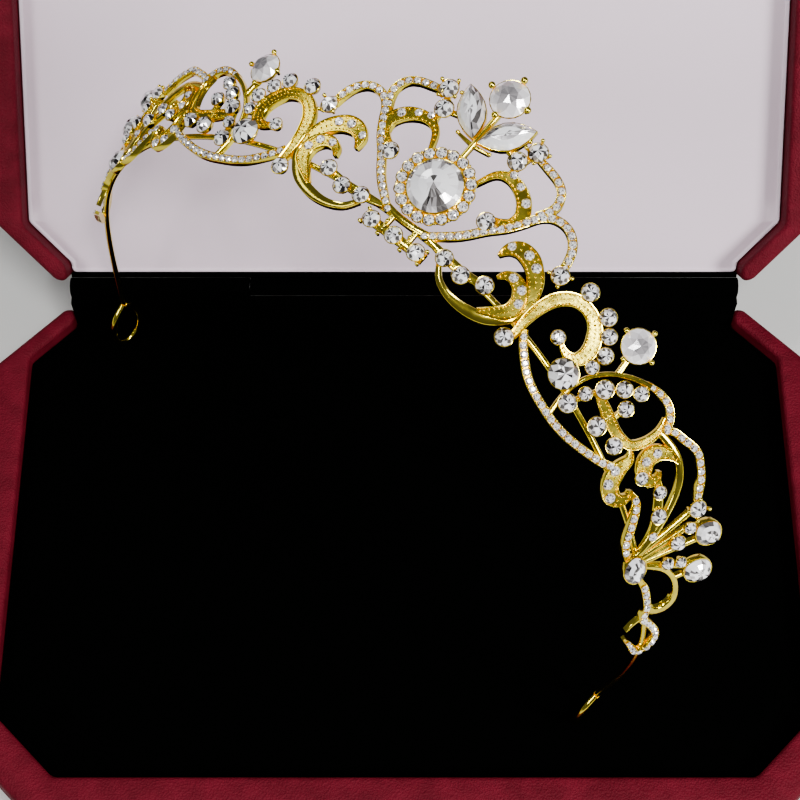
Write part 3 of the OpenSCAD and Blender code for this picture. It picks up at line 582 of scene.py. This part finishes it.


# the recess colour is a painted glow: saturated orange for light bounced between the gold parts
goldLook = {"colour": (0.80, 0.665, 0.12), "deep": (0.68, 0.56, 0.10), "paintedRecessGlow": (1.0, 0.55, 0.008),
            "recessReach": 1.6 * mm, "polished": 0.11, "dull": 0.19}
gold, goldShader = newMaterial("polishedGold", goldLook["colour"], 1.0)
cloud = texture(gold, "ShaderNodeTexNoise", 260, Detail=4.0)
tone = ramp(gold, cloud.outputs["Fac"], [(0.35, goldLook["deep"]), (0.6, goldLook["colour"])])
# painted glow: where ambient occlusion finds a recess, the base colour turns orange and the metal partly
# diffuse, standing in for light bounced in the hollows
hollow = gold.node_tree.nodes.new("ShaderNodeAmbientOcclusion")
hollow.samples = 6
hollow.inputs["Distance"].default_value = goldLook["recessReach"]
openness = ramp(gold, hollow.outputs["AO"], [(0.3, 0.0), (0.62, 1.0)])
paintedGlowMix = gold.node_tree.nodes.new("ShaderNodeMixRGB")
paintedGlowMix.inputs["Color1"].default_value = (*goldLook["paintedRecessGlow"], 1)
gold.node_tree.links.new(openness.outputs["Color"], paintedGlowMix.inputs["Fac"])
gold.node_tree.links.new(tone.outputs["Color"], paintedGlowMix.inputs["Color2"])
gold.node_tree.links.new(paintedGlowMix.outputs["Color"], goldShader.inputs["Base Color"])
paintedGlowMetallic = ramp(gold, openness.outputs["Color"], [(0.0, 0.45), (1.0, 1.0)])
gold.node_tree.links.new(paintedGlowMetallic.outputs["Color"], goldShader.inputs["Metallic"])
polish = ramp(gold, cloud.outputs["Fac"], [(0.3, goldLook["polished"]), (0.75, goldLook["dull"])])
gold.node_tree.links.new(polish.outputs["Color"], goldShader.inputs["Roughness"])
ripple = texture(gold, "ShaderNodeTexNoise", 700, Detail=2.0)
bump(gold, goldShader, ripple.outputs["Fac"], 0.12, 0.2 * mm)


# each facet's base colour is a painted reflection, from near black to white, set by its glint value
def cutGlass(name, metallic, roughness, tones):  # each facet's brightness comes from its glint value
    made, shader = newMaterial(name, (0.9, 0.9, 0.92), metallic, roughness)
    glint = made.node_tree.nodes.new("ShaderNodeAttribute")
    glint.attribute_name = "glint"
    paintedFacetGlint = ramp(made, glint.outputs["Fac"], tones)
    made.node_tree.links.new(paintedFacetGlint.outputs["Color"], shader.inputs["Base Color"])
    shader.inputs["Coat Weight"].default_value = 1.0
    shader.inputs["Coat Roughness"].default_value = 0.03
    return made


crystal = cutGlass("foiledCrystal", 0.27, 0.08, [(0.0, (0.02, 0.018, 0.018)), (0.25, (0.14, 0.13, 0.125)),
                                                 (0.5, (0.66, 0.63, 0.64)), (0.72, (1.0, 0.99, 1.0))])
milky = cutGlass("milkyCrystal", 0.2, 0.16, [(0.0, (0.22, 0.21, 0.215)), (0.5, (0.55, 0.52, 0.53)),
                                             (1.0, (1.0, 0.97, 0.99))])

leatherLook = {"colour": (0.107, 0.0083, 0.0157), "light": (0.146, 0.0122, 0.0226), "grain": 1900}
leather, leatherShader = newMaterial("redLeatherette", leatherLook["colour"], 0.0, 0.6)
leatherShader.inputs["Specular IOR Level"].default_value = 0.12
patch = texture(leather, "ShaderNodeTexNoise", 180, Detail=8.0)
hide = ramp(leather, patch.outputs["Fac"], [(0.35, leatherLook["colour"]), (0.7, leatherLook["light"])])
leather.node_tree.links.new(hide.outputs["Color"], leatherShader.inputs["Base Color"])
pores = texture(leather, "ShaderNodeTexVoronoi", leatherLook["grain"])
bump(leather, leatherShader, pores.outputs["Distance"], 0.5, 0.4 * mm)

velvet, velvetShader = newMaterial("blackVelvet", (0.0016, 0.0018, 0.0016), 0.0, 0.95)
velvetShader.inputs["Specular IOR Level"].default_value = 0.0
velvetShader.inputs["Sheen Weight"].default_value = 0.004
velvetShader.inputs["Sheen Roughness"].default_value = 0.4
pile = texture(velvet, "ShaderNodeTexNoise", 2600, Detail=3.0)
bump(velvet, velvetShader, pile.outputs["Fac"], 0.6, 0.6 * mm)

satin, satinShader = newMaterial("whiteSatin", (0.63, 0.525, 0.59), 0.0, 0.42)
satinShader.inputs["Sheen Weight"].default_value = 0.3
satinShader.inputs["Anisotropic"].default_value = 0.5
weave = texture(satin, "ShaderNodeTexWave", 1400, Distortion=1.5, Detail=2.0)
bump(satin, satinShader, weave.outputs["Fac"], 0.08, 0.2 * mm)

steel, steelShader = newMaterial("darkSteel", (0.25, 0.25, 0.26), 1.0, 0.35)
scratches = texture(steel, "ShaderNodeTexNoise", 1200, Detail=2.0)
bump(steel, steelShader, scratches.outputs["Fac"], 0.15, 0.1 * mm)
print("materials made")

crownMetal.data.materials.append(gold)
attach(crownMetal, "box")
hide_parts("crown_frame")

# stones in the place of their nodes
gems = {"plain": gemMesh("gemPlain", seed=3), "other": gemMesh("gemOther", seed=11),
        "small": gemMesh("gemSmall", 0.28, 0.5, 7, lighter=0.06),
        "broad": gemMesh("gemBroad", 0.24, 0.46, 5, True), "middle": gemMesh("gemMiddle", 0.27, 0.5, 9)}


def dress(piece, slotName, *nodeNames, body="box", paint=None):
    if paint:
        piece.data.materials.append(paint)
    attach(piece, body)
    if nodeNames:
        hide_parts(*nodeNames)


# heights of the girdles over the band
lift = stones["cupTop"] + 0.08
bigLift = 0.98
middleLift = 0.93
centreLift = 1.08


def setStones(name, nodeName, rows, height, gem, finish, seed, side=1):
    places = [(seat(s * side, v, height), d) for s, v, d in rows]
    dress(setOnPoints(name, places, gem, finish, seed), "crystal", nodeName)


for side, label in ((1, "right"), (-1, "left")):
    setStones("roundStones_" + label, "round_stones_" + label, roundStones, lift, gems["plain"], crystal,
              20 + side, side)
    setStones("bigStone_" + label, "big_stone_" + label, [stones["big"]], bigLift, gems["broad"], milky,
              4, side)
    setStones("middleStone_" + label, "middle_stone_" + label, [stones["middle"]], middleLift, gems["middle"],
              crystal, 6, side)
setStones("topStone", "top_stone", [stones["top"]], bigLift, gems["broad"], milky, 5)
setStones("baseRowStones", "base_row_stones", baseRow, lift, gems["other"], crystal, 8)
haloSeat = seat(stones["centre"][0], stones["centre"][1], lift)
haloPlaces = [(byHalo(haloSeat, i, stones["haloRadius"]), stones["haloSize"]) for i in range(stones["halo"])]
dress(setOnPoints("haloStones", haloPlaces, gems["small"], crystal, 9), "crystal", "halo_stones")


def centreStoneMesh(place, size):  # pointed round stone, cut all round in long wedges
    bm = bmesh.new()
    glint = bm.faces.layers.float.new("glint")
    rng = random.Random(4)
    count = 32
    rings = []
    for r, z, shift in ((0.46, -0.4, 0), (0.5, 0, 0), (0.42, 1.05, 0), (0.27, 1.8, 0.5), (0.13, 2.25, 0)):
        angles = [2 * math.pi * (k + shift) / count for k in range(count)]
        rings.append([bm.verts.new(place @ Vector((size * r * math.cos(a), size * r * math.sin(a), z)))
                      for a in angles])
    tip = bm.verts.new(place @ Vector((0, 0, 2.45)))

    # painted reflection: a dark fan on one side of the stone and bright wedges beside it, set as glint values
    def fromFan(k):  # degrees from the middle of the dark fan
        around = (360 * (k + 0.5) / count + 48) % 360
        return min(around, 360 - around)

    for n, (a, b) in enumerate(zip(rings, rings[1:])):
        for k in range(count):
            j = (k + 1) % count
            fan = fromFan(k)
            odd = (k // 2) % 2
            if fan < 28:
                value = (0.4, 0.3, 0.14, 0.2)[n] + 0.15 * odd
            elif fan < 84:
                value = (0.6, 0.7, 0.9, 0.9)[n] - 0.2 * odd
            elif fan < 152:
                value = (0.3, 0.25, 0.6, 1.0)[n] + (0.35 if odd and n < 3 else 0)
            else:
                value = (0.3, 0.22, 0.4, 0.9)[n] + 0.4 * odd
            for points in ((a[k], a[j], b[k]), (a[j], b[j], b[k])):
                f = bm.faces.new(points)
                f[glint] = max(0, min(1, value + rng.uniform(-0.12, 0.12)))
    for k in range(count):
        f = bm.faces.new((rings[-1][k], rings[-1][(k + 1) % count], tip))
        fan = fromFan(k)
        f[glint] = 0.3 if fan < 28 else 0.6 if fan < 84 else 1.0 if fan < 152 else 0.15
    bm.faces.new(rings[0])[glint] = 0.3
    bmesh.ops.recalc_face_normals(bm, faces=bm.faces[:])
    return toObject("centreStone", bm)


def ovalStoneMesh(name, place, length, width, rise, seed, end=1.0):  # pointed or rounded oval
    bm = bmesh.new()
    glint = bm.faces.layers.float.new("glint")
    rng = random.Random(seed)
    k = 8
    outline = ovalOutline(length, width, k, end)
    rings = []
    cuts = [(0.95, 0.94, -0.3), (1, 1, 0), (0.8, 0.76, rise * 0.6), (0.56, 0.48, rise * 0.97),
            (0.3, 0.2, rise)]
    for f, g, z in cuts:  # share of the length, share of the width, height
        rings.append([bm.verts.new(place @ Vector((x * f, y * g, z))) for x, y in outline])
    tip = bm.verts.new(place @ Vector((0, 0, rise)))
    for n, (a, b) in enumerate(zip(rings, rings[1:])):
        for q in range(2 * k):
            j = (q + 1) % (2 * k)
            # painted reflection: the first half of each ring lighter than the other, and the pointed ends
            # darker
            value = ((0.5, 0.95, 1.0, 0.6) if q < k else (0.25, 0.4, 0.35, 0.9))[n]
            if end < 1:
                value = rng.choice((0.12, 0.4, 0.75, 1.0))
            elif q % k in (0, k - 1):
                value *= 0.5
            for points in ((a[q], a[j], b[q]), (a[j], b[j], b[q])):
                face = bm.faces.new(points)
                face[glint] = max(0, min(1, value + rng.uniform(-0.2, 0.2)))
    for q in range(2 * k):
        face = bm.faces.new((rings[-1][q], rings[-1][(q + 1) % (2 * k)], tip))
        face[glint] = rng.choice((0.9, 1.0, 0.3))
    bm.faces.new(rings[0])[glint] = 0.3
    bmesh.ops.recalc_face_normals(bm, faces=bm.faces[:])
    return toObject(name, bm)


centreSeat = seat(stones["centre"][0], stones["centre"][1], centreLift)
ovalRise = {"leaf": 2.0, "end": 1.5}
centreStone = centreStoneMesh(centreSeat, stones["centre"][2])
dress(centreStone, "crystal", "centre_stone", paint=crystal)
for side, label in ((1, "right"), (-1, "left")):
    s, v, length, width, turn = stones["leaf"]
    leafSeat = seat(s * side, v, lift, turn * side)
    leafStone = ovalStoneMesh("leafStone_" + label, leafSeat, length, width, ovalRise["leaf"], 30 + side)
    dress(leafStone, "crystal", "leaf_stone_" + label, paint=crystal)
    parts = []
    for i, (s, v, length, width, turn) in enumerate(stones["ovals"]):
        place = seat(s * side, v, lift, turn * side)
        parts.append(ovalStoneMesh("oval", place, length, width, ovalRise["end"], 40 + i, stones["ovalEnd"]))
    joined = bmesh.new()
    for part in parts:
        joined.from_mesh(part.data)
        bpy.data.objects.remove(part)
    endStones = toObject("endStones_" + label, joined)
    dress(endStones, "crystal", "end_stones_" + label, paint=crystal)
print("main stones set")

# fine stones strung along the ribbons: mm left free at the start and the end, size, pitch
pave = {"sideRibbon": (0.5, 1.0, 1.9, 1.93), "upperRibbon": (1.2, 1.0, 1.85, 1.95),
        "swag": (1.6, 1.2, 1.85, 1.95), "wireArcSet": (1.4, 0.8, 1.75, 1.9),
        "outerArc": (1.6, 1.0, 1.85, 1.95), "lowStrand": (2.4, 3.1, 1.9, 2.1),
        "endRow": (5.4, 1.0, 1.95, 2.2), "endHook": (2.2, 3.0, 1.95, 2.15)}
# single stones on the scrolls: s, v, diameter
singles = [[11.3, 25.2, 1.9], [14, 24.2, 1.9], [17.2, 22.3, 2.2], [21.3, 13.8, 2.0], [25.3, 14.8, 2.3],
           [28.3, 13.9, 2.3], [26.3, 9.3, 2.1], [29.4, 8.6, 2.2], [31.0, 6.2, 2.2], [72.9, 0.4, 2.3],
           [74.6, -2.25, 2.5], [77.7, -3.25, 2.4], [75, 9.8, 2.2], [75.2, 6.9, 2.2], [92.3, 1.7, 2.2]]
# heights over the band, and the beads between the fine stones
setting = {"fine": 0.3, "single": 0.55, "bead": 0.45, "beadInset": 0.32, "beadSize": 0.5}
# gold grains on the floors of the scrolls: floor height, pitch, size
grainField = {"innerScroll": (0.3, 1.15, 0.62), "upperCrescent": (0.3, 1.1, 0.6),
              "lowerCrescent": (0.4, 1.05, 0.6), "sideScroll": (0.3, 0.9, 0.5), "lowLeaf": (0.3, 0.95, 0.5),
              "highLeaf": (0.3, 0.95, 0.5), "stemCurl": (0.1, 0.9, 0.5)}
grainRows = {"start": 0.8, "end": 0.6, "rim": 0.62, "stray": 0.08, "clear": 0.3}


def alongRow(rows, first, last, pitch):
    path = smoothRows(rows, 12)
    length = [0]
    for a, b in zip(path, path[1:]):
        length.append(length[-1] + math.hypot(b[0] - a[0], (b[1] - a[1]) * stretch))
    usable = length[-1] - first - last
    count = max(1, round(usable / pitch))
    places = []
    for i in range(count + 1):
        at = first + usable * i / count
        k = min(len(path) - 2, max(j for j in range(len(length)) if length[j] <= at + 1e-9))
        f = (at - length[k]) / max(1e-6, length[k + 1] - length[k])
        row = [p * (1 - f) + q * f for p, q in zip(path[k], path[k + 1])]
        places.append((row, sideAt(path, k)))
    return places


bead = bmesh.new()
bmesh.ops.create_icosphere(bead, subdivisions=2, radius=0.5)
beadShape = toObject("beadShape", bead, 80)
grain = bmesh.new()
bmesh.ops.create_icosphere(grain, subdivisions=1, radius=0.5)
grainShape = toObject("grainShape", grain, 80)
for side, label in ((1, "right"), (-1, "left")):
    fine, beads, grains = [], [], []
    for name, (first, last, size, pitch) in pave.items():
        rows = ribbons[name][1]
        places = alongRow(rows, first, last, pitch)
        for row, _ in places:
            fine.append((seat(row[0] * side, row[1], setting["fine"]), size * min(1, row[2] / 2)))
        for (a, (ds, dv)), (b, _) in zip(places, places[1:]):
            for way in (-1, 1):
                o = way * (a[2] / 2 - setting["beadInset"])
                s, v = (a[0] + b[0]) / 2 + ds * o, (a[1] + b[1]) / 2 + dv * o
                beads.append((seat(s * side, v, setting["bead"]), setting["beadSize"]))
    for s, v, d in singles:
        fine.append((seat(s * side, v, setting["single"]), d))
    rng = random.Random(12)
    stray = grainRows["stray"]
    for name, (bed, pitch, size) in grainField.items():
        for row, (ds, dv) in alongRow(ribbons[name][1], grainRows["start"], grainRows["end"], pitch):
            inner = row[2] / 2 - grainRows["rim"]
            across = max(0, int(inner * 2 / (pitch - 0.08)))
            for k in range(across + 1):
                o = -inner + 2 * inner * k / max(1, across) if across else 0
                s = row[0] + ds * o + rng.uniform(-stray, stray)
                v = row[1] + dv * o + rng.uniform(-stray, stray)
                clear = all(math.hypot(s - a, (v - b) * stretch) > c / 2 + grainRows["clear"]
                            for a, b, c in singles)
                if inner > 0.05 and clear:
                    grains.append((seat(s * side, v, bed + 0.08), size * rng.uniform(0.9, 1.08)))
    dress(setOnPoints("fineStones_" + label, fine, gems["small"], crystal, 50 + side), "crystal")
    dress(setOnPoints("settingBeads_" + label, beads, beadShape, gold, 60, 0.0), "gold")
    dress(setOnPoints("goldGrains_" + label, grains, grainShape, gold, 70, 3.0), "gold")
    print("fine stones", label, len(fine), "beads", len(beads), "grains", len(grains))
for shape in list(gems.values()) + [beadShape, grainShape]:
    bpy.data.objects.remove(shape)


# box: rounded copies of the solids
def roundedCopy(nodeName, name, width, segments=4):
    bm = bmesh.new()
    bm.from_mesh(nodes[nodeName].data)
    bmesh.ops.remove_doubles(bm, verts=bm.verts[:], dist=0.02 * mm)
    bmesh.ops.dissolve_limit(bm, angle_limit=math.radians(1), verts=bm.verts[:], edges=bm.edges[:])
    made = toObject(name, bm)
    made.data.materials.clear()
    edge = made.modifiers.new("edges", "BEVEL")
    edge.width = width
    edge.segments = segments
    edge.limit_method = "ANGLE"
    edge.angle_limit = math.radians(30)
    edge.use_clamp_overlap = True
    made = finished(made, name)
    made.data.polygons.foreach_set("use_smooth", [True] * len(made.data.polygons))
    made.data.set_sharp_from_angle(angle=math.radians(40))
    return made


boardEdge = 1.6 * mm
boxBase = roundedCopy("box_base", "boxBase", boardEdge)
dress(boxBase, "leatherette", "box_base", paint=leather)
lidFrame = roundedCopy("lid_frame", "lidFrame", boardEdge)
dress(lidFrame, "leatherette", "lid_frame", body="lid", paint=leather)


# padded faces: rounded edge, how low the face starts and how far it rises over the solid
padSoft = {"edge": 2.2 * mm, "drop": 0.9 * mm, "rise": 0.3 * mm}
panelSoft = {"edge": 1.4 * mm, "drop": 1.2 * mm, "rise": 0.8 * mm}
swell = {"pressure": 4, "frames": 20, "pitch": 7 * mm, "weld": 0.08 * mm}


def puffed(source, name, facing, soft):  # cloth swells the face between its held edges
    travel = soft["drop"] + soft["rise"]
    bm = bmesh.new()
    bm.from_mesh(source.data)
    bpy.data.objects.remove(source)
    across = facing.cross(Vector((1, 0, 0)))
    for way in (Vector((1, 0, 0)), across):
        reach = [v.co.dot(way) for v in bm.verts]
        count = int((max(reach) - min(reach)) / swell["pitch"])
        for i in range(1, count):
            at = min(reach) + (max(reach) - min(reach)) * i / count
            everything = bm.verts[:] + bm.edges[:] + bm.faces[:]
            bmesh.ops.bisect_plane(bm, geom=everything, plane_co=way * at, plane_no=way)
    # the cloth can't solve edges with no length
    bmesh.ops.dissolve_degenerate(bm, dist=swell["weld"], edges=bm.edges[:])
    bmesh.ops.remove_doubles(bm, verts=bm.verts[:], dist=swell["weld"])
    bmesh.ops.triangulate(bm, faces=bm.faces[:])
    bm.verts.index_update()
    bm.normal_update()
    front = [v.index for v in bm.verts if v.normal.dot(facing) > 0.9]
    free = [v.index for v in bm.verts if v.normal.dot(facing) > 0.9999]
    bm.verts.ensure_lookup_table()
    for i in front:
        bm.verts[i].co -= facing * soft["drop"]
    made = toObject(name, bm, 40)
    held = made.vertex_groups.new(name="held")
    held.add([v.index for v in made.data.vertices if v.index not in set(free)], 1.0, "REPLACE")
    cloth = made.modifiers.new("swell", "CLOTH")
    cloth.settings.use_pressure = True
    cloth.settings.uniform_pressure_force = swell["pressure"]
    cloth.settings.effector_weights.gravity = 0
    cloth.settings.vertex_group_mass = "held"
    cloth.point_cache.frame_end = swell["frames"]
    for moment in range(1, swell["frames"] + 1):
        bpy.context.scene.frame_set(moment)
    swollen = made.evaluated_get(bpy.context.evaluated_depsgraph_get()).to_mesh()
    moved = [(a.co - b.co).dot(facing) for a, b in zip(swollen.vertices, made.data.vertices)]
    most = max(1e-6, max(moved))
    made.modifiers.clear()
    bpy.context.scene.frame_set(1)
    for v, m in zip(made.data.vertices, moved):
        v.co += facing * (max(0, m) / most * travel)
    print(name, "swelled", round(most / mm, 2), "mm, kept", round(travel / mm, 2))
    return made


padStart = roundedCopy("box_pad", "padStart", padSoft["edge"])
velvetPad = puffed(padStart, "velvetPad", Vector((0, 0, 1)), padSoft)
dress(velvetPad, "velvet", "box_pad", paint=velvet)
inward = [f for f in nodes["lid_panel"].data.polygons if f.normal.z > 0 and f.normal.y < 0]
lidFacing = max(inward, key=lambda f: f.area).normal.copy()
panelStart = roundedCopy("lid_panel", "panelStart", panelSoft["edge"])
satinPanel = puffed(panelStart, "satinPanel", lidFacing, panelSoft)
dress(satinPanel, "satin", "lid_panel", body="lid", paint=satin)
for nodeName, name, body in (("box_spine", "velvetSpine", "box"), ("lid_strip", "velvetStrip", "lid")):
    dress(roundedCopy(nodeName, name, 0.12 * mm, 2), "velvet", nodeName, body=body, paint=velvet)
for nodeName, paint in (("hinge_roll_left", velvet), ("hinge_roll_right", velvet), ("lid_roll", velvet),
                        ("hinge_pin", steel)):
    nodes[nodeName].data.materials.clear()
    nodes[nodeName].data.materials.append(paint)
print("box dressed")

# floor and light
floorMesh = bmesh.new()
bmesh.ops.create_grid(floorMesh, x_segments=1, y_segments=1, size=3)
floor = toObject("floor", floorMesh)
floorPaint, _ = newMaterial("paleFloor", (0.62, 0.62, 0.6), 0.0, 0.7)
floor.data.materials.append(floorPaint)
world = bpy.data.worlds.new("studio")
world.use_nodes = True
bpy.context.scene.world = world
world.node_tree.nodes["Background"].inputs["Color"].default_value = (0.9, 0.93, 1, 1)
world.node_tree.nodes["Background"].inputs["Strength"].default_value = 0.13
bpy.context.scene.view_settings.look = "AgX - Medium High Contrast"
lampTarget = Vector((0, 0.05, 0.08))
lamps = [("key", (0.16, -0.42, 1.15), 0.28, 7.6),  # name, place, size, watts
         ("spark", (-0.3, 0.1, 1.2), 0.1, 1.8),
         ("side", (0.95, -0.6, 0.75), 0.4, 15),
         ("fill", (-0.75, -0.55, 0.85), 0.3, 3.7),
         ("back", (-0.55, 0.8, 0.95), 0.45, 1.5)]
for name, place, size, power in lamps:
    lamp = bpy.data.objects.new(name, bpy.data.lights.new(name, "AREA"))
    lamp.data.shape = "DISK"
    lamp.data.size = size
    lamp.data.energy = power
    lamp.location = place
    lamp.rotation_euler = (lampTarget - lamp.location).to_track_quat("-Z", "Y").to_euler()
    bpy.context.scene.collection.objects.link(lamp)
print("stage lit")
